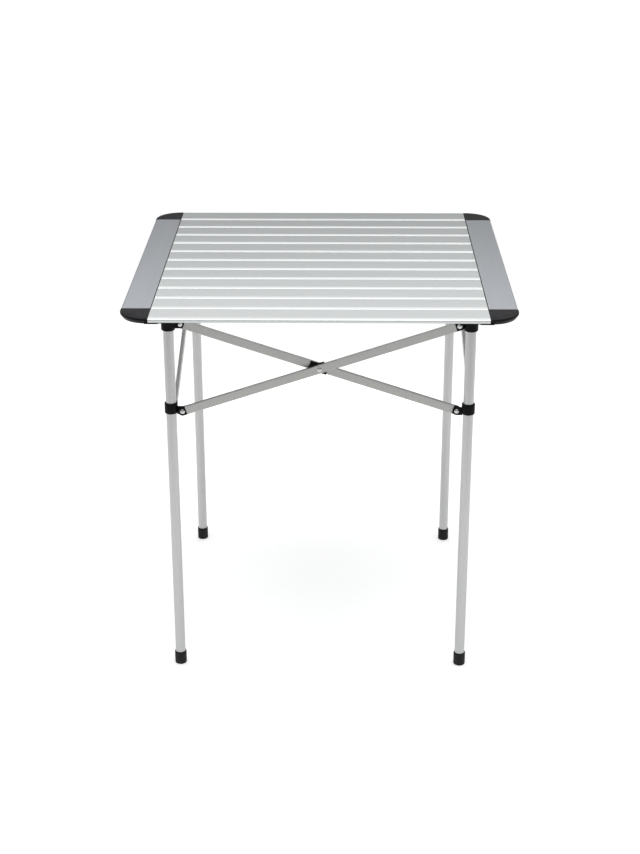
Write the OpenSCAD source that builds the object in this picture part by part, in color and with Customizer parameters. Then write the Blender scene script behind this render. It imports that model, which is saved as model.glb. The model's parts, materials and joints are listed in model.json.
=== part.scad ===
// Folding side table: a roll-up slatted top that sits on a four-legged scissor frame.
// Frame of the model: origin on the floor under the middle of the top, +X to the right,
// +Y to the rear, +Z up, millimetres. Drawn open, as it stands in use.

/* [Table] */
// Width and depth of the square top
top_size = 700; // [690:1:712]
// Height of the top surface above the floor
top_h = 730; // [700:5:760]

/* [Slats] */
// Thickness of a slat
slat_t = 7; // [6.5:0.5:7.5]
// Gap between neighbouring slats
slat_gap = 0.7; // [0.5:0.1:1.2]
// Radius of a slat's long top edges
slat_edge_r = 3; // [2:0.5:3]
// Wall thickness of the slat extrusion
slat_wall = 1; // [0.8:0.1:1]

/* [Side rails and corner caps] */
// Width of a side rail
rail_w = 53; // [51:1:56]
// Thickness of the rails and caps
rail_t = 10; // [9.5:0.5:11]
// Plan radius of a cap's outer corner
cap_r = 50; // [38:1:50]
// How far a cap's plate reaches in under the slats
cap_ledge = 50; // [46:1:54]
// How far a rail's ledge reaches in under the slats
rail_ledge = 18; // [10:1:30]

/* [Legs] */
// Outside diameter of a leg tube
leg_d = 19; // [18:0.5:19.5]
// Distance of a leg's axis from the middle of the table, in X and in Y
leg_pos = 270; // [268:1:272]
// Outside diameter of a sliding collar
slider_d = 24; // [23:0.5:24.5]
// Height of a sliding collar
slider_h = 20; // [16:1:22]
// Diameter of a foot
foot_d = 22.5; // [22:0.5:26]
// Height of a foot
foot_h = 26; // [20:1:32]

/* [Scissor bars] */
// Width of a bar
bar_w = 16; // [14:0.5:16]
// Thickness of a bar
bar_t = 6.5; // [5:0.5:6.5]
// Height of the upper pivots, on the leg heads
upper_z = 693; // [692:1:694]
// Height of the lower pivots, on the sliding collars
lower_z = 528; // [500:1:560]
// Distance of a pivot from the leg's axis, along the scissor
pivot_in = 21; // [20.5:0.5:22]
// Diameter of a rivet's shank
rivet_d = 4; // [3:0.5:5]

/* [Hidden] */
$fn = 64;
CORNERS = ["front_left", "front_right", "rear_right", "rear_left"];
SIDES = ["front", "right", "rear", "left"];
SLAT_COUNT = 12;
function slat_name(i) = str("slat_", i < 10 ? "0" : "", i);

// colours
ALU = [0.79, 0.80, 0.80];
ALU_RAIL = [0.62, 0.64, 0.67];
ALU_BAR = [0.66, 0.66, 0.65];
STEEL = [0.75, 0.75, 0.75];
BLACK = [0.08, 0.08, 0.08];

// clearances
RUN = 0.1;              // radial play of a rivet in a lug
FACE = 0.3;             // gap between faces that move past each other
LUG_GAP = 0.25;         // gap between a lug and the bar beside it
FIT = 0.05;             // gap of a pushed-together fit inside one body

// table top
HALF = top_size / 2;
PITCH = top_size / SLAT_COUNT;
RAIL_X = HALF - rail_w;                     // inner face of a rail
SLAT_HALF = RAIL_X - 0.6;                   // half length of a slat
CAP_Y = HALF - PITCH + slat_gap / 2;        // where a rail ends and its cap begins
RAIL_Z = top_h - rail_t;                    // underside of the rails, their ledges and the caps
LEDGE_T = rail_t - slat_t - FACE;           // the slats rest just above the ledges
RAIL_GAP = 1;                               // how much narrower a rail is than its caps, on its inner side
RAIL_WALL = 1.4;
CREST_W = 9;                                // strip along a slat's front edge that leans down to the front
CREST_LEAN = 6;                             // its slope in degrees
ARC_STEPS = 8;
CHAMBER_IN = 5;                             // from a slat's long edges to its outer chambers
CAP_SPIGOT = 22;                            // length of the cap's tongue inside the rail
CAP_ROUND = 1.2;                            // width of the bevel round a cap's upper edge
CAP_SIDE = 3.5;                             // depth of a cap's upright side below the top
CAP_DRAFT = 4.5;                            // how far a cap's side then leans in to the underside
RAIL_EDGE = 3;                              // radius of a rail's outer edges
STOP_H = 12;                                // depth of the stop rib under a cap
STOP_T = 3;
CORD_X = 245;                               // elastic cords that string the slats together
CORD_HOLE_D = 4.4;
PLATE_Y = leg_pos - 15;                     // rear end of a cap's plate, just past the leg head
PLATE_ROOT = 6;                             // how far the plate is rooted in the cap's body
TONGUE_L = 10;                              // cap's tongue inside the end of the front slat
TONGUE_W = 14;

// legs and heads
LEG_WALL = 1.2;
HEAD_TOP = RAIL_Z - FACE;
HEAD_R_TOP = 13;
HEAD_R = 12.6;                              // radius beside the bars
HEAD_LOW = upper_z - 10.5;
HEAD_ROUND = 2.5;                           // radius of the lower edge
LEG_BASE = 6;                               // floor thickness of a foot
LEG_TOP = HEAD_TOP - 6;
SLIDE = 0.3;                                // play of a collar on its leg

// scissors
LUG_T = 3;
PLANE = LUG_T / 2 + LUG_GAP + bar_t / 2;    // bar's mid-plane from the leg plane
BAR_GAP = LUG_T + 2 * LUG_GAP;              // space between crossing bars
SPAN = 2 * (leg_pos - pivot_in);
DROP = upper_z - lower_z;
SLOPE = atan(DROP / SPAN);
BAR_LEN = sqrt(SPAN * SPAN + DROP * DROP);
MID_Z = (upper_z + lower_z) / 2;
LUG_R = 7.5;
PLUG_IN = 7;                                // from the pivot to where the bar's tube starts
PLUG_TONGUE = 12;                           // plug's tongue inside the tube
BAR_WALL = 1;
BAR_EDGE = 1.2;
RIVET_HEAD = 9;
HEAD_RISE = 1.8;
SPACER_OUT = 19;                            // spacer, towards the bar's upper end
SPACER_IN = 15;                             // spacer, towards the bar's lower end

// ---------------------------------------------------------------- helpers

// puts a shape drawn for the front left corner or the front side at corner or side i
module turned(i) rotate([0, 0, 90 * i]) children();

// rectangle w x h, centred, with round corners r on every side
module round_rect(w, h, r) {
    square([w - 2 * r, h], center = true);
    square([w, h - 2 * r], center = true);
    for (x = [-1, 1], y = [-1, 1]) translate([x * (w / 2 - r), y * (h / 2 - r)]) circle(r);
}

// cylinder along +Y from y0 to y1
module rod_y(d, y0, y1) translate([0, y1, 0]) rotate([90, 0, 0]) cylinder(d = d, h = y1 - y0);

// domed rivet head whose flat face lies on y = 0, bulging towards -Y
module dome() {
    r = (RIVET_HEAD * RIVET_HEAD / 4 + HEAD_RISE * HEAD_RISE) / (2 * HEAD_RISE);
    intersection() {
        translate([0, r - HEAD_RISE, 0]) sphere(r);
        translate([-RIVET_HEAD, -2 * HEAD_RISE, -RIVET_HEAD])
            cube([2 * RIVET_HEAD, 2 * HEAD_RISE, 2 * RIVET_HEAD]);
    }
}

// rivet along Y with a domed head at each end of its grip
module rivet(y0, y1) {
    rod_y(rivet_d, y0 - 0.1, y1 + 0.1);
    translate([0, y0, 0]) dome();
    translate([0, y1, 0]) mirror([0, 1, 0]) dome();
}

// ear that carries a pivot, in the leg plane, reaching from the leg's axis to the pivot
module lug(z) difference() {
    union() {
        translate([pivot_in, 0, z]) rod_y(2 * LUG_R, -LUG_T / 2, LUG_T / 2);
        translate([leg_d / 2 + 1, -LUG_T / 2, z - LUG_R]) cube([pivot_in - leg_d / 2 - 1, LUG_T, 2 * LUG_R]);
    }
    translate([pivot_in, 0, z]) rod_y(rivet_d + 2 * RUN, -LUG_T, LUG_T);
}

// moves to the front left leg's axis
module on_leg() translate([-leg_pos, -leg_pos, 0]) children();

// ---------------------------------------------------------------- legs

// aluminium tube
module leg() color(ALU) on_leg() difference() {
    translate([0, 0, LEG_BASE]) cylinder(d = leg_d, h = LEG_TOP - LEG_BASE);
    translate([0, 0, LEG_BASE - 1]) cylinder(d = leg_d - 2 * LEG_WALL, h = LEG_TOP - LEG_BASE + 2);
}

// pushed-on foot, with a rounded lower edge
module foot() color(BLACK) on_leg() difference() {
    rotate_extrude() {
        square([foot_d / 2 - 2, foot_h]);
        translate([0, 2]) square([foot_d / 2, foot_h - 2.8]);
        translate([0, foot_h - 1]) square([foot_d / 2 - 0.8, 1]);
        translate([foot_d / 2 - 2, 2]) circle(2);
    }
    translate([0, 0, LEG_BASE - FIT]) cylinder(d = leg_d + 2 * FIT, h = foot_h);
}

// moulded head on top of a leg, which carries the top and two upper pivots
module head() color(BLACK) on_leg() difference() {
    union() {
        rotate_extrude() {
            polygon([
                [0, HEAD_LOW], [HEAD_R - HEAD_ROUND, HEAD_LOW], [HEAD_R, HEAD_LOW + HEAD_ROUND],
                [HEAD_R, upper_z + bar_w / 2 + 1], [HEAD_R_TOP, upper_z + bar_w / 2 + 4],
                [HEAD_R_TOP, HEAD_TOP - 0.8], [HEAD_R_TOP - 0.8, HEAD_TOP], [0, HEAD_TOP]]);
            translate([HEAD_R - HEAD_ROUND, HEAD_LOW + HEAD_ROUND]) circle(HEAD_ROUND);
        }
        lug(upper_z);
        mirror([1, -1, 0]) lug(upper_z);
    }
    translate([0, 0, HEAD_LOW - 1]) cylinder(d = leg_d + 2 * FIT, h = LEG_TOP - HEAD_LOW + 1 + FIT);
}

// moulded collar that slides on a leg and carries two lower pivots
module slider() color(BLACK) on_leg() difference() {
    union() {
        rotate_extrude() translate([0, lower_z - 4.5]) {
            translate([0, 0.8]) square([slider_d / 2, slider_h - 1.6]);
            square([slider_d / 2 - 0.8, slider_h]);
        }
        lug(lower_z);
        mirror([1, -1, 0]) lug(lower_z);
    }
    translate([0, 0, lower_z - 2 * slider_h]) cylinder(d = leg_d + 2 * SLIDE, h = 4 * slider_h);
}

// ---------------------------------------------------------------- scissors

// frame of the inner bar (inner = 1) or outer bar (inner = -1): X runs along the bar to the right, downhill
// for the inner bar and uphill for the outer one, and y = 0 is the bar's mid-plane
module on_bar(inner) translate([0, -leg_pos + inner * PLANE, MID_Z]) rotate([0, inner * SLOPE, 0]) children();

// flat tube with closed rounded edges, between its two end plugs, drilled for the centre rivet
module bar(inner) color(ALU_BAR) on_bar(inner) difference() {
    rotate([90, 0, 90]) translate([0, 0, PLUG_IN - BAR_LEN / 2])
        linear_extrude(BAR_LEN - 2 * PLUG_IN) difference() {
            round_rect(bar_t, bar_w, BAR_EDGE);
            square([bar_t - 2 * BAR_WALL, bar_w - 2 * BAR_WALL], center = true);
        }
    rod_y(inner > 0 ? rivet_d + 2 * FIT : rivet_d + 2 * RUN, -bar_t, bar_t);
}

// moulded end of a bar: a round ear at the pivot with a tongue inside the tube
module plug() difference() {
    union() {
        intersection() {
            rod_y(bar_w, -bar_t / 2, bar_t / 2);
            translate([-bar_w, -bar_t, -bar_w]) cube([bar_w + PLUG_IN - FIT, 2 * bar_t, 2 * bar_w]);
        }
        translate([0, -bar_t / 2, -bar_w / 2]) cube([PLUG_IN - FIT, bar_t, bar_w]);
        translate([0, FIT + BAR_WALL - bar_t / 2, FIT + BAR_WALL - bar_w / 2])
            cube([PLUG_IN + PLUG_TONGUE, bar_t - 2 * BAR_WALL - 2 * FIT, bar_w - 2 * BAR_WALL - 2 * FIT]);
    }
    rod_y(rivet_d + 2 * FIT, -bar_t, bar_t);
}

module plugs(inner) color(BLACK) on_bar(inner) for (end = [0, 1])
    mirror([end, 0, 0]) translate([-BAR_LEN / 2, 0, 0]) plug();

// rivets at the two ends, through bar and lug, and for the inner bar the one at the crossing
module rivets(inner) color(STEEL) on_bar(inner) {
    lug_far = PLANE + LUG_T / 2 + RUN;
    for (x = [-1, 1]) translate([x * BAR_LEN / 2, 0, 0])
        if (inner > 0) rivet(-lug_far, bar_t / 2 + RUN / 2); else rivet(-bar_t / 2 - RUN / 2, lug_far);
    if (inner > 0) rivet(-2 * PLANE - bar_t / 2 - RUN, bar_t / 2 + RUN / 2);
}

// block between the crossing bars, fixed to the inner bar
module spacer() color(BLACK) on_bar(1) difference() {
    translate([-SPACER_OUT, -bar_t / 2 - BAR_GAP + FACE, -bar_w / 2 - 0.3])
        cube([SPACER_OUT + SPACER_IN, BAR_GAP - FACE - FIT / 2, bar_w + 0.6]);
    rod_y(rivet_d + 2 * FIT, -2 * bar_t, bar_t);
}

// ---------------------------------------------------------------- top

// points of an arc round centre from angle a0 to a1
function arc(centre, r, a0, a1) = [for (k = [0:ARC_STEPS])
    let (a = a0 + (a1 - a0) * k / ARC_STEPS) centre + r * [cos(a), sin(a)]];

// cross-section of a slat: Y across the slat, top face at 0, round long top edges, and a leaning strip at the front
module slat_outline() {
    front = (slat_gap - PITCH) / 2;
    back = -front;
    r = slat_edge_r;
    drop = (CREST_W - r + r * sin(CREST_LEAN)) * tan(CREST_LEAN) + r * cos(CREST_LEAN);
    polygon(concat(
        [[front, -slat_t], [back, -slat_t]],
        arc([back - r, -r], r, 0, 90),
        [[front + CREST_W, 0]],
        arc([front + r, -drop], r, 90 + CREST_LEAN, 180)));
}

// three hollow chambers inside the extrusion
module slat_chambers() {
    inside = PITCH - slat_gap - 2 * CHAMBER_IN;
    cell = (inside - 2 * slat_wall) / 3;
    for (k = [-1, 0, 1]) translate([k * (cell + slat_wall), -slat_t / 2])
        square([cell, slat_t - 2 * slat_wall], center = true);
}

// slat number i, 1 at the rear edge and SLAT_COUNT at the front edge, drilled for the two cords, which end inside
// the first and the last slat
module slat(i) color(ALU) translate([0, HALF - (i - 0.5) * PITCH, top_h]) difference() {
    translate([-SLAT_HALF, 0, 0]) rotate([90, 0, 90]) linear_extrude(2 * SLAT_HALF) difference() {
        slat_outline();
        slat_chambers();
    }
    for (x = [-CORD_X, CORD_X]) translate([x, 0, -slat_t / 2])
        rod_y(CORD_HOLE_D, i == SLAT_COUNT ? 0 : -PITCH, i == 1 ? 0 : PITCH);
}

// cross-section of the right rail: X outwards, Z up, a box with a round outer edge
module rail_outline() {
    translate([RAIL_X + RAIL_GAP, RAIL_Z]) square([rail_w - RAIL_GAP - RAIL_EDGE, rail_t]);
    translate([RAIL_X + RAIL_GAP, RAIL_Z + RAIL_EDGE]) square([rail_w - RAIL_GAP, rail_t - 2 * RAIL_EDGE]);
    for (z = [RAIL_Z + RAIL_EDGE, top_h - RAIL_EDGE]) translate([HALF - RAIL_EDGE, z]) circle(RAIL_EDGE);
}

// the rail's hollow, which the caps' tongues fill; grow is added on every side
module rail_hollow(grow = 0) translate([RAIL_X + RAIL_GAP + RAIL_WALL - grow, RAIL_Z + RAIL_WALL - grow])
    square([rail_w - RAIL_GAP - 2 * RAIL_WALL - 1.5 + 2 * grow, rail_t - 2 * RAIL_WALL + 2 * grow]);

// extrudes an X-Z outline along Y from y0 to y1
module along_y(y0, y1) translate([0, y1, 0]) rotate([90, 0, 0]) linear_extrude(y1 - y0) children();

// side rail with the ledge that the slats rest on, drawn for the right side
module rail() color(ALU_RAIL) difference() {
    union() {
        along_y(FIT - CAP_Y, CAP_Y - FIT) rail_outline();
        along_y(FIT - PLATE_Y, PLATE_Y - FIT)
            translate([RAIL_X - rail_ledge, RAIL_Z]) square([rail_ledge + RAIL_GAP + RAIL_WALL, LEDGE_T]);
    }
    along_y(-HALF, HALF) rail_hollow();
}

// cross-section of a cap from r0 to its outer edge, measured outwards from the middle of its round corner
module cap_section(r0) polygon([
    [r0, RAIL_Z], [cap_r - CAP_DRAFT, RAIL_Z], [cap_r, top_h - CAP_SIDE], [cap_r, top_h - CAP_ROUND],
    [cap_r - CAP_ROUND, top_h], [r0, top_h]]);

// body of the rear right cap: a round corner and the straight stretches on both sides of it
module cap_body() translate([HALF - cap_r, HALF - cap_r, 0]) {
    rotate_extrude(angle = 90, $fn = 96) cap_section(0);
    along_y(CAP_Y - HALF + cap_r, 0) cap_section(cap_r - rail_w);
    mirror([1, -1, 0]) along_y(cap_r - rail_w, 0) cap_section(0);
}

// moulded cap of the rear right corner, with its tongue inside the rail and the plate that lies on a leg head
module cap() {
    cap_body();
    along_y(CAP_Y - CAP_SPIGOT, CAP_Y + 5) rail_hollow(-FIT);
    translate([RAIL_X - rail_ledge, CAP_Y, RAIL_Z])
        cube([rail_ledge + PLATE_ROOT, HALF - CAP_Y - CAP_ROUND, LEDGE_T]);
    translate([RAIL_X - cap_ledge, PLATE_Y, RAIL_Z])
        cube([cap_ledge + RAIL_GAP - FIT, HALF - PLATE_Y - CAP_DRAFT, LEDGE_T]);
    stop_rib();
}

// L-shaped rib round the two outer sides of the leg head, open towards the middle of the table
module stop_rib() {
    near = leg_pos + HEAD_R_TOP + 2 * FACE;
    side = 2 * HEAD_R_TOP + STOP_T;
    for (swap = [0, 1]) mirror([swap, -swap, 0])
        translate([near, near + STOP_T - side, RAIL_Z - STOP_H]) cube([STOP_T, side, STOP_H + 1]);
}

// flat tongue of a front cap inside the middle chamber of the front slat
module slat_tongue()
    translate([RAIL_X - TONGUE_L, PITCH / 2 - HALF - TONGUE_W / 2, top_h - slat_t + slat_wall + FACE])
        cube([TONGUE_L + 3, TONGUE_W, slat_t - 2 * slat_wall - 2 * FACE]);

// the two caps of the right side
module caps() color(BLACK) {
    cap();
    mirror([0, 1, 0]) cap();
    slat_tongue();
}

// ---------------------------------------------------------------- nodes

for (i = [0:3]) {
    turned(i) leg();
    turned(i) foot();
    turned(i) head();
    turned(i) slider();
    turned(i) bar(1);
    turned(i) plugs(1);
    turned(i) rivets(1);
    turned(i) spacer();
    turned(i) bar(-1);
    turned(i) plugs(-1);
    turned(i) rivets(-1);
}
for (i = [1:SLAT_COUNT])
    slat(i);
mirror([1, 0, 0]) rail();  // rail_left
rail();  // rail_right
mirror([1, 0, 0]) caps();  // caps_left
caps();  // caps_right
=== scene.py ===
"""Looks of the folding side table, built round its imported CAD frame.

The slats, rails, legs, bars and rivets stay CAD nodes with better materials. The black mouldings are made
again with rounded edges, and the slats' end plugs, the elastic cords, the friction plates and the screws are
added.
Metres, +Z up, +X to the right, +Y to the rear, origin on the floor under the middle of the top.
"""

import json
import math

import bmesh
import bpy
from mathutils import Matrix, Vector


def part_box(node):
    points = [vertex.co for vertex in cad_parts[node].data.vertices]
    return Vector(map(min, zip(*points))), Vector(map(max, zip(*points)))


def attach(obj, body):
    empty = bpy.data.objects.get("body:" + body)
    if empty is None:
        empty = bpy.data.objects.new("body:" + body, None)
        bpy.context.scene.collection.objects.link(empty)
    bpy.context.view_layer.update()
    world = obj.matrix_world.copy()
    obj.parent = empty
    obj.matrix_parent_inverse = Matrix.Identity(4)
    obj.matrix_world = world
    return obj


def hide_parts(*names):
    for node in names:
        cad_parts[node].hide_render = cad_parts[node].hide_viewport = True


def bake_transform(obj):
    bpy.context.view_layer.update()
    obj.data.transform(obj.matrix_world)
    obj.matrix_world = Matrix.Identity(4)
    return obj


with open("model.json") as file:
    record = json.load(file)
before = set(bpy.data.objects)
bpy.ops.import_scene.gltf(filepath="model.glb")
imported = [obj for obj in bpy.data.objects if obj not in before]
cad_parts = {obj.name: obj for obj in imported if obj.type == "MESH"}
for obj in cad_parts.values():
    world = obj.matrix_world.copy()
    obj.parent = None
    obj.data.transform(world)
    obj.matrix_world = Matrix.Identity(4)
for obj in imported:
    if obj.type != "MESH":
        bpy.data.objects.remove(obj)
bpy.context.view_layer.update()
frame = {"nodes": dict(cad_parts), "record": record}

MM = 0.001
CORNERS = ("front_left", "front_right", "rear_right", "rear_left")
SIDES = ("front", "right", "rear", "left")
SLAT_COUNT = 12
SLATS = [f"slat_{i:02d}" for i in range(1, SLAT_COUNT + 1)]
BODY_OF = {node: body for body, nodes in frame["record"]["behaviour"]["bodies"].items() for node in nodes}


# ---------------------------------------------------------------- sizes, taken from the frame

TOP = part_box("slat_01")[1].z
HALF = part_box("rail_right")[1].x
SLAT_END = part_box("slat_01")[1].x
SLAT_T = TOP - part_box("slat_01")[0].z
SLAT_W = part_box("slat_01")[1].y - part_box("slat_01")[0].y
PITCH = 2 * HALF / SLAT_COUNT
SLAT_EDGE_R = 3 * MM
SLAT_WALL = 1 * MM
CREST_DROP = 0.65 * MM
CHAMBER_COUNT = 3
CHAMBER_IN = 5 * MM          # from a slat's long edge to its first chamber
CHAMBER_H = SLAT_T - 2 * SLAT_WALL
CHAMBER_STEP = (SLAT_W - 2 * CHAMBER_IN + SLAT_WALL) / CHAMBER_COUNT
RAIL_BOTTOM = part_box("rail_right")[0].z
SCREW_X = 323.5 * MM         # middle of a rail's width
SCREW_Y = 281 * MM           # inside the length of a cap's tongue
CORD_X = 245 * MM
CORD_Z = TOP - SLAT_T / 2
CORD_D = 3.5 * MM
PLACE_OF = {j["name"]: Vector(j["pos_m"]) for j in frame["record"]["behaviour"]["joints"] if "pos_m" in j}
PIVOT = PLACE_OF["frame_fold"]
CROSSING = PLACE_OF["front_crossing"]
BAR_SLOPE = math.atan2(PIVOT.z - CROSSING.z, -PIVOT.x)
BAR_FACE = 1.75 * MM         # from the leg plane to the nearer face of a bar
BAR_HALF_W = 8 * MM


# ---------------------------------------------------------------- mesh helpers

def new_object(name, shape, material, smooth_angle=30):
    """Turns a bmesh into an object."""
    mesh = bpy.data.meshes.new(name)
    bmesh.ops.recalc_face_normals(shape, faces=shape.faces)
    for edge in shape.edges:
        edge.smooth = edge.calc_face_angle(0) < math.radians(smooth_angle)
    for face in shape.faces:
        face.smooth = True
    shape.to_mesh(mesh)
    shape.free()
    mesh.materials.append(material)
    thing = bpy.data.objects.new(name, mesh)
    bpy.context.scene.collection.objects.link(thing)
    return thing


def new_piece(name, shape, body, material):
    """Turns a bmesh into a piece that rides on a body."""
    piece = new_object(name, shape, material)
    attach(piece, body)
    return piece


def round_edges(shape, width, angle=32, segments=3):
    """Rounds the edges of a bmesh that are sharper than angle."""
    sharp = [e for e in shape.edges if e.calc_face_angle(0) > math.radians(angle)]
    bmesh.ops.bevel(shape, geom=sharp, offset=width, segments=segments, profile=0.5,
                    affect="EDGES", clamp_overlap=True)


def prism(shape, outline, offset):
    """Adds a closed prism between an outline and the same outline moved by offset."""
    near = [shape.verts.new(p) for p in outline]
    far = [shape.verts.new(Vector(p) + Vector(offset)) for p in outline]
    shape.faces.new(near)
    shape.faces.new(far[::-1])
    for k in range(len(near)):
        shape.faces.new((near[k - 1], near[k], far[k], far[k - 1]))


def tube(shape, rings):
    """Adds a skin over rings of points, with a face over each end."""
    loops = [[shape.verts.new(p) for p in ring] for ring in rings]
    for low, high in zip(loops, loops[1:]):
        for k in range(len(low)):
            shape.faces.new((low[k - 1], low[k], high[k], high[k - 1]))
    shape.faces.new(loops[0])
    shape.faces.new(loops[-1][::-1])


def arc(centre_y, centre_z, radius, start, end, steps=6):
    """Points (y, z) of an arc, with angles in degrees."""
    angles = [math.radians(start + (end - start) * k / steps) for k in range(steps + 1)]
    return [(centre_y + radius * math.cos(a), centre_z + radius * math.sin(a)) for a in angles]


def finer(node, width, material):
    """A copy of a CAD node's solid with its sharp edges rounded, which stands for the node."""
    same_place = 0.002 * MM
    same_plane = math.radians(0.4)
    shape = bmesh.new()
    shape.from_mesh(frame["nodes"][node].data)
    bmesh.ops.remove_doubles(shape, verts=shape.verts, dist=same_place)
    bmesh.ops.dissolve_limit(shape, angle_limit=same_plane, verts=shape.verts, edges=shape.edges)
    round_edges(shape, width)
    piece = new_piece(node + "_rounded", shape, BODY_OF[node], material)
    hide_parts(node)


# ---------------------------------------------------------------- materials

def material_nodes(name, metallic, roughness, specular=0.5):
    """A new material with a Principled shader, as (material, node tree, shader)."""
    material = bpy.data.materials.new(name)
    material.use_nodes = True
    shader = material.node_tree.nodes["Principled BSDF"]
    shader.inputs["Metallic"].default_value = metallic
    shader.inputs["Roughness"].default_value = roughness
    shader.inputs["Specular IOR Level"].default_value = specular
    return material, material.node_tree, shader


def add(tree, kind, inputs=None, **settings):
    """Adds a node, sets its own settings and then its inputs, which are values or other nodes' outputs."""
    node = tree.nodes.new(kind)
    for key, value in settings.items():
        setattr(node, key, value)
    for key, value in (inputs or {}).items():
        socket = node.inputs[key]
        if isinstance(value, bpy.types.NodeSocket):
            tree.links.new(value, socket)
        else:
            socket.default_value = value
    return node


def stretched(tree, direction, along, across):
    """Object coordinates in a frame whose X runs along direction, with that grain size along and across."""
    turn = Vector(direction).to_track_quat("X", "Z").to_euler()
    place = add(tree, "ShaderNodeTexCoord")
    mapping = add(tree, "ShaderNodeMapping", {
        "Vector": place.outputs["Object"], "Rotation": turn, "Scale": (along, across, across),
    }, vector_type="TEXTURE")
    return mapping.outputs["Vector"]


def noise(tree, vector, scale=1.0, detail=3.0, rough=0.5):
    """Noise from 0 to 1."""
    return add(tree, "ShaderNodeTexNoise", {
        "Vector": vector, "Scale": scale, "Detail": detail, "Roughness": rough,
    }).outputs["Fac"]


def spread(tree, value, low, high, out_low, out_high):
    """Maps a value from one range to another, and holds it there."""
    return add(tree, "ShaderNodeMapRange", {
        "Value": value, "From Min": low, "From Max": high, "To Min": out_low, "To Max": out_high,
    }).outputs["Result"]


def total(tree, first, second, operation="ADD"):
    return add(tree, "ShaderNodeMath", {0: first, 1: second}, operation=operation).outputs[0]


def tinted(tree, factor, dark, light):
    """Mixes two colours by a factor."""
    mix = add(tree, "ShaderNodeMix", data_type="RGBA")
    tree.links.new(factor, mix.inputs["Factor"])
    mix.inputs["A"].default_value = (*dark, 1)
    mix.inputs["B"].default_value = (*light, 1)
    return mix.outputs["Result"]


def scaled(colour, by):
    return tuple(min(1.0, c * by) for c in colour)


def connect(tree, shader, colour, roughness, height, depth):
    """Joins colour, roughness and bump to the shader."""
    bump = add(tree, "ShaderNodeBump", {"Height": height, "Distance": depth, "Strength": 1.0})
    tree.links.new(colour, shader.inputs["Base Color"])
    tree.links.new(roughness, shader.inputs["Roughness"])
    tree.links.new(bump.outputs["Normal"], shader.inputs["Normal"])


def aluminium(name, colour, direction, roughness):
    """Satin anodised extrusion: fine draw lines along direction, faint patches and soft wiped streaks."""
    metallic = 0.85
    contrast = 0.035
    sheen_change = 0.005
    material, tree, shader = material_nodes(name, metallic, roughness)
    lines = noise(tree, stretched(tree, direction, 400 * MM, 2.4 * MM), detail=2)
    patches = noise(tree, stretched(tree, direction, 500 * MM, 60 * MM), detail=1)
    streaks = noise(tree, stretched(tree, direction, 300 * MM, 20 * MM), detail=1)
    tone = total(tree, spread(tree, lines, 0.3, 0.7, 0, 0.5), spread(tree, patches, 0.3, 0.7, 0, 0.5))
    body = tinted(tree, tone, scaled(colour, 1 - contrast), scaled(colour, 1 + contrast))
    rough = spread(tree, streaks, 0.2, 0.8, roughness - sheen_change, roughness + sheen_change)
    connect(tree, shader, body, rough, lines, 0.001 * MM)
    return material


def moulded(name, colour, roughness, grain, depth, specular=0.3, wear=1.6):
    """Moulded plastic: a fine mould texture, patches rubbed shinier and paler worn edges."""
    rubs_per_metre = 45
    material, tree, shader = material_nodes(name, 0, roughness, specular)
    place = add(tree, "ShaderNodeTexCoord").outputs["Object"]
    fine = noise(tree, place, 1 / grain, 3, 0.6)
    rubbed = noise(tree, place, rubs_per_metre, 4, 0.6)
    edge = spread(tree, add(tree, "ShaderNodeNewGeometry").outputs["Pointiness"], 0.53, 0.62, 0, 1)
    worn = total(tree, edge, spread(tree, rubbed, 0.4, 0.7, 0.2, 1), "MULTIPLY")
    tone = total(tree, worn, spread(tree, fine, 0.3, 0.7, 0, 0.25))
    body = tinted(tree, tone, scaled(colour, 0.85), scaled(colour, wear))
    rough = spread(tree, rubbed, 0.3, 0.7, roughness - 0.06, roughness + 0.07)
    connect(tree, shader, body, rough, fine, depth)
    return material


def steel(name, colour, roughness):
    """Bright pressed steel with fine marks and faint stains."""
    marks_per_metre = 2200
    stains_per_metre = 160
    material, tree, shader = material_nodes(name, 1, roughness)
    place = add(tree, "ShaderNodeTexCoord").outputs["Object"]
    marks = noise(tree, place, marks_per_metre, 4, 0.6)
    stain = noise(tree, place, stains_per_metre, 3)
    body = tinted(tree, spread(tree, stain, 0.3, 0.7, 0, 1), scaled(colour, 0.88), colour)
    rough = spread(tree, marks, 0.3, 0.7, roughness - 0.05, roughness + 0.08)
    connect(tree, shader, body, rough, marks, 0.004 * MM)
    return material


def braided(name, colour):
    """Woven cover of an elastic cord that runs along Y: two sets of crossing threads."""
    thread_angle = math.radians(50)
    wave_scale = 380
    material, tree, shader = material_nodes(name, 0, 0.8, 0.3)
    place = add(tree, "ShaderNodeTexCoord").outputs["Object"]
    waves = []
    for turn in (thread_angle, -thread_angle):
        turned = add(tree, "ShaderNodeMapping", {"Vector": place, "Rotation": (0, 0, turn)})
        waves.append(add(tree, "ShaderNodeTexWave", {
            "Vector": turned.outputs["Vector"], "Scale": wave_scale, "Distortion": 0.6,
        }).outputs["Fac"])
    weave = total(tree, *waves, "MAXIMUM")
    body = tinted(tree, weave, scaled(colour, 0.5), scaled(colour, 1.8))
    rough = spread(tree, weave, 0, 1, 0.9, 0.7)
    connect(tree, shader, body, rough, weave, 0.08 * MM)
    return material


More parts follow.
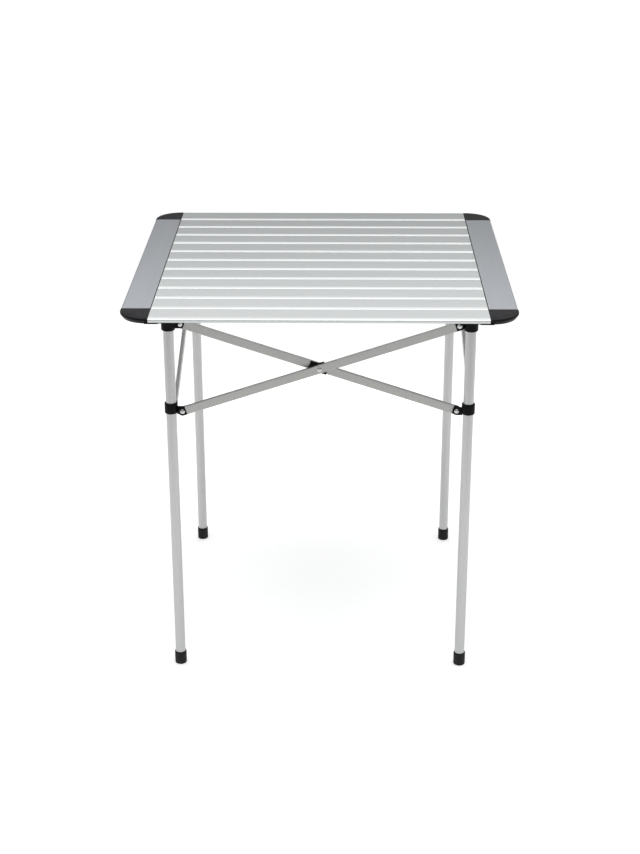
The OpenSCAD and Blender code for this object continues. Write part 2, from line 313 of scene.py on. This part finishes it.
def paper_floor(name):
    """Matt pale studio floor that glows with painted light, which lifts its shadows: a little dimmer in
    front of the object and brighter far behind it.
    """
    material, tree, shader = material_nodes(name, 0, 0.9, 0.1)
    place = add(tree, "ShaderNodeTexCoord").outputs["Object"]
    grain = noise(tree, place, 300, 2)
    body = tinted(tree, grain, (0.90, 0.90, 0.90), (0.92, 0.92, 0.92))
    connect(tree, shader, body, spread(tree, grain, 0, 1, 0.85, 0.95), grain, 0.01 * MM)
    # painted glow: the floor emits light, less in front of the object and more far behind it
    depth = add(tree, "ShaderNodeSeparateXYZ", {0: place}).outputs["Y"]
    painted_near_glow = spread(tree, depth, -2.4, -0.9, PAINTED_FRONT_GLOW, PAINTED_FLOOR_GLOW)
    glow = total(tree, painted_near_glow, spread(tree, depth, 2, 8, 0, PAINTED_FAR_GLOW))
    shader.inputs["Emission Color"].default_value = (1, 1, 1, 1)
    tree.links.new(glow, shader.inputs["Emission Strength"])
    return material


SLAT_ALU = aluminium("slat_aluminium", (0.76, 0.785, 0.78), (1, 0, 0), 0.28)
RAIL_ALU = aluminium("rail_aluminium", (0.50, 0.52, 0.55), (0, 1, 0), 0.30)
LEG_ALU = aluminium("leg_aluminium", (0.49, 0.495, 0.49), (0, 0, 1), 0.34)
RIVET_STEEL = steel("rivet_steel", (0.60, 0.60, 0.60), 0.22)
SCREW_STEEL = steel("screw_steel", (0.55, 0.55, 0.56), 0.3)
NYLON = moulded("black_nylon", (0.004, 0.004, 0.0045), 0.5, 0.5 * MM, 0.02 * MM, 0.1)
CAP_PLASTIC = moulded("charcoal_cap", (0.006, 0.006, 0.008), 0.42, 0.6 * MM, 0.02 * MM, 0.1)
FOOT_RUBBER = moulded("black_foot", (0.008, 0.008, 0.009), 0.6, 0.7 * MM, 0.03 * MM, 0.25, 2.0)
FRICTION_FIBRE = moulded("friction_fibre", (0.006, 0.006, 0.006), 0.7, 0.3 * MM, 0.02 * MM, 0.2)
CORD_COVER = braided("elastic_cord", (0.03, 0.03, 0.032))


def dress(node, material):
    """Gives a CAD node its material."""
    node_mesh = frame["nodes"][node].data
    node_mesh.materials.clear()
    node_mesh.materials.append(material)


def lengthways(node):
    """Direction of a long CAD node that lies at a slant."""
    points = sorted((v.co for v in frame["nodes"][node].data.vertices), key=lambda p: p.z)
    return points[-1] - points[0]


for slat in SLATS:
    dress(slat, SLAT_ALU)
for side in ("left", "right"):
    dress("rail_" + side, RAIL_ALU)
for corner in CORNERS:
    dress("leg_" + corner, LEG_ALU)
for side in SIDES:
    for layer in ("inner", "outer"):
        bar = f"bar_{layer}_{side}"
        dress(bar, aluminium(bar + "_aluminium", (0.44, 0.44, 0.425), lengthways(bar), 0.40))
        dress(f"rivets_{layer}_{side}", RIVET_STEEL)


# ---------------------------------------------------------------- rounded mouldings

for corner in CORNERS:
    finer("head_" + corner, 0.9 * MM, NYLON)
    finer("slider_" + corner, 0.7 * MM, NYLON)
    finer("foot_" + corner, 0.8 * MM, FOOT_RUBBER)
for side in SIDES:
    finer("spacer_" + side, 0.5 * MM, NYLON)
    for layer in ("inner", "outer"):
        finer(f"plugs_{layer}_{side}", 0.5 * MM, NYLON)
for side in ("left", "right"):
    finer("caps_" + side, 0.8 * MM, CAP_PLASTIC)


# ---------------------------------------------------------------- slat end plugs and elastic cords

def slat_section(inset):
    """Outline (y, z) of a slat's end from its middle and top, drawn in by inset."""
    half = SLAT_W / 2 - inset
    radius = SLAT_EDGE_R - inset
    return [(-half, inset - SLAT_T), (half, inset - SLAT_T),
            *arc(half - radius, -inset - radius, radius, 0, 90),
            *arc(radius - half, -inset - CREST_DROP - radius, radius, 90, 180)]


def slat_end_plug(index, side):
    """Moulded plug in one end of a slat: a thin flange and a rib in each of the slat's chambers."""
    flange_t = 0.35 * MM
    flange_inset = 0.4 * MM
    clearance = 0.02 * MM
    play = 0.15 * MM
    depth = 9 * MM
    corners = ((-1, -1), (1, -1), (1, 1), (-1, 1))
    middle = HALF - (index - 0.5) * PITCH
    shape = bmesh.new()
    face_x = side * (SLAT_END + clearance)
    outline = [(face_x, middle + y, TOP + z) for y, z in slat_section(flange_inset)]
    prism(shape, outline, (side * flange_t, 0, 0))
    half_w = (CHAMBER_STEP - SLAT_WALL) / 2 - play
    half_h = CHAMBER_H / 2 - play
    for k in range(CHAMBER_COUNT):
        centre = middle + (k - (CHAMBER_COUNT - 1) / 2) * CHAMBER_STEP
        rib = [(face_x, centre + y * half_w, CORD_Z + z * half_h) for y, z in corners]
        prism(shape, rib, (-side * depth, 0, 0))
    name = f"slat_plug_{index:02d}_{'right' if side > 0 else 'left'}"
    new_piece(name, shape, f"slat_{index:02d}", NYLON)


def cord_link(index, side):
    """Stretch of an elastic cord from the middle of one slat to the middle of the next one in front."""
    radius = CORD_D / 2
    corners = 12
    bend_in_slat = 1.5 * MM
    bend = (PITCH - SLAT_W) / 2 + bend_in_slat
    boundary = HALF - index * PITCH
    reach = PITCH / 2
    steps = [reach, reach * 0.6, bend, bend * 0.66, bend * 0.33]  # closer together where the cord bends
    places = [boundary + d for d in steps] + [boundary] + [boundary - d for d in reversed(steps)]
    x = side * CORD_X
    turns = [math.tau * k / corners for k in range(corners)]
    rings = [[(x + radius * math.cos(a), y, CORD_Z + radius * math.sin(a)) for a in turns] for y in places]
    shape = bmesh.new()
    tube(shape, rings)
    name = f"cord_link_{index:02d}_{'right' if side > 0 else 'left'}"
    link = new_object(name, shape, CORD_COVER)
    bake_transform(link)


for side in (-1, 1):
    for index in range(1, SLAT_COUNT):
        slat_end_plug(index, side)
        cord_link(index, side)


# ---------------------------------------------------------------- friction plates and screws

def friction_plate(number, side):
    """Thin fibre plate on the inner face of an outer bar at the crossing, with a hole for the rivet."""
    hole_r = 2.2 * MM
    thick = 0.25 * MM
    corners = 48
    left, right = 19 * MM, 12 * MM
    above, below = BAR_HALF_W + 2.4 * MM, BAR_HALF_W
    outer_y = CROSSING.y - BAR_FACE
    inner_y = outer_y + thick
    nearly_zero = 1e-6
    shape = bmesh.new()
    loops = [[], [], [], []]
    for k in range(corners):
        c, s = math.cos(math.tau * k / corners), math.sin(math.tau * k / corners)
        to_end = (right if c > 0 else left) / max(abs(c), nearly_zero)
        to_edge = (above if s > 0 else below) / max(abs(s), nearly_zero)
        rim_r = min(to_end, to_edge)
        section = ((hole_r, outer_y), (rim_r, outer_y), (rim_r, inner_y), (hole_r, inner_y))
        for loop, (reach, y) in zip(loops, section):
            along, up = reach * c, reach * s
            loop.append(shape.verts.new((
                along * math.cos(BAR_SLOPE) - up * math.sin(BAR_SLOPE), y,
                CROSSING.z + along * math.sin(BAR_SLOPE) + up * math.cos(BAR_SLOPE))))
    for loop, following in zip(loops, loops[1:] + loops[:1]):
        for k in range(corners):
            shape.faces.new((loop[k - 1], loop[k], following[k], following[k - 1]))
    turn = Matrix.Rotation(number * math.pi / 2, 3, "Z")
    bmesh.ops.rotate(shape, verts=shape.verts, cent=(0, 0, 0), matrix=turn)
    new_piece("friction_plate_" + side, shape, "outer_" + side, FRICTION_FIBRE)


def cap_screw(name, x, y, body):
    """Round-headed screw with a hexagon socket, seen from below, that holds a cap's tongue in the rail."""
    corners = 36
    socket_half_w = 1.25 * MM
    # millimetres: radius and height of each step of the head, then heights of the socket's mouth and floor
    head = [(2.0, 0.02), (2.9, 0.0), (3.1, -0.35), (2.85, -0.95), (2.3, -1.35), (1.75, -1.5)]
    socket = [-1.5, -0.5]
    angles = [math.tau * k / corners for k in range(corners)]
    hexagon = [socket_half_w / math.cos(a % (math.pi / 3) - math.pi / 6) for a in angles]
    levels = [([radius * MM] * corners, height) for radius, height in head]
    levels += [(hexagon, height) for height in socket]
    rings = []
    for radii, height in levels:
        z = RAIL_BOTTOM + height * MM
        rings.append([(x + r * math.cos(a), y + r * math.sin(a), z) for r, a in zip(radii, angles)])
    shape = bmesh.new()
    tube(shape, rings)
    new_piece(name, shape, body, SCREW_STEEL)


for number, side in enumerate(SIDES):
    friction_plate(number, side)
for side, sign in (("left", -1), ("right", 1)):
    for end, way in (("front", -1), ("rear", 1)):
        cap_screw(f"cap_screw_{end}_{side}", sign * SCREW_X, way * SCREW_Y, side + "_rail")


# ---------------------------------------------------------------- studio

# heights in the surroundings, as the sine of the angle above the horizon
HORIZON_TOP = 0.07
WALL_BOTTOM = 0.13
WALL_TOP = 0.25
CEILING_BOTTOM = 0.9
WALL_COLOUR = (0.13, 0.134, 0.138)
CEILING_COLOUR = (1.0, 1.0, 1.0)
WORLD_STRENGTH = 0.7
# painted glow of the floor, as emission strength: near the object, in front of it and added far behind it
PAINTED_FLOOR_GLOW = 0.45
PAINTED_FRONT_GLOW = 0.12
PAINTED_FAR_GLOW = 0.3
FLOOR_HALF = 25
CAMERA_PLACE = (0.0364, -3.0036, 1.6373)
CAMERA_LENS = 68.37
CAMERA_PITCH = math.radians(22.668)
CAMERA_YAW = math.radians(0.749)
CAMERA_ROLL = math.radians(0.062)


def make_floor():
    shape = bmesh.new()
    bmesh.ops.create_grid(shape, x_segments=1, y_segments=1, size=FLOOR_HALF)
    new_object("floor", shape, paper_floor("pale_floor"))


def make_light(name, place, aim, size_x, size_y, power):
    light = bpy.data.lights.new(name, "AREA")
    light.shape = "RECTANGLE"
    light.size = size_x
    light.size_y = size_y
    light.energy = power
    lamp = bpy.data.objects.new(name, light)
    bpy.context.scene.collection.objects.link(lamp)
    lamp.location = place
    lamp.rotation_mode = "QUATERNION"
    lamp.rotation_quaternion = (Vector(aim) - Vector(place)).to_track_quat("-Z", "Y")


def make_world():
    """Soft surroundings: a bright ceiling above dimmer walls, and a pale backdrop along the horizon."""
    world = bpy.data.worlds.new("studio")
    world.use_nodes = True
    tree = world.node_tree
    bpy.context.scene.world = world
    direction = add(tree, "ShaderNodeTexCoord").outputs["Generated"]
    up = add(tree, "ShaderNodeSeparateXYZ", {0: direction}).outputs["Z"]
    ceiling = spread(tree, up, WALL_TOP, CEILING_BOTTOM, 0, 1)
    shade = total(tree, ceiling, spread(tree, up, HORIZON_TOP, WALL_BOTTOM, 1, 0))
    background = tree.nodes["Background"]
    tree.links.new(tinted(tree, shade, WALL_COLOUR, CEILING_COLOUR), background.inputs["Color"])
    background.inputs["Strength"].default_value = WORLD_STRENGTH


def make_camera():
    """Seen from in front, a little right of the middle and well above the top."""
    camera = bpy.data.cameras.new("camera")
    camera.sensor_width = 36
    camera.lens = CAMERA_LENS
    camera.clip_end = 100
    holder = bpy.data.objects.new("camera", camera)
    bpy.context.scene.collection.objects.link(holder)
    holder.location = CAMERA_PLACE
    holder.rotation_mode = "QUATERNION"
    level = Matrix.Rotation(CAMERA_YAW, 4, "Z") @ Matrix.Rotation(math.pi / 2 - CAMERA_PITCH, 4, "X")
    holder.rotation_quaternion = (level @ Matrix.Rotation(-CAMERA_ROLL, 4, "Z")).to_quaternion()
    bpy.context.scene.camera = holder


make_floor()
make_world()
make_light("back_softbox", (0.3, 1.65, 1.93), (0.3, -0.5, 1.1), 2.6, 1.2, 8)
make_light("overhead_softbox", (0.0, -0.4, 2.8), (0, -0.4, 0), 3.0, 2.4, 36)
make_light("front_softbox", (0, -3.6, 1.9), (0, 0, 0.75), 3.4, 1.6, 6)
make_camera()
bpy.context.scene.view_settings.view_transform = "Standard"
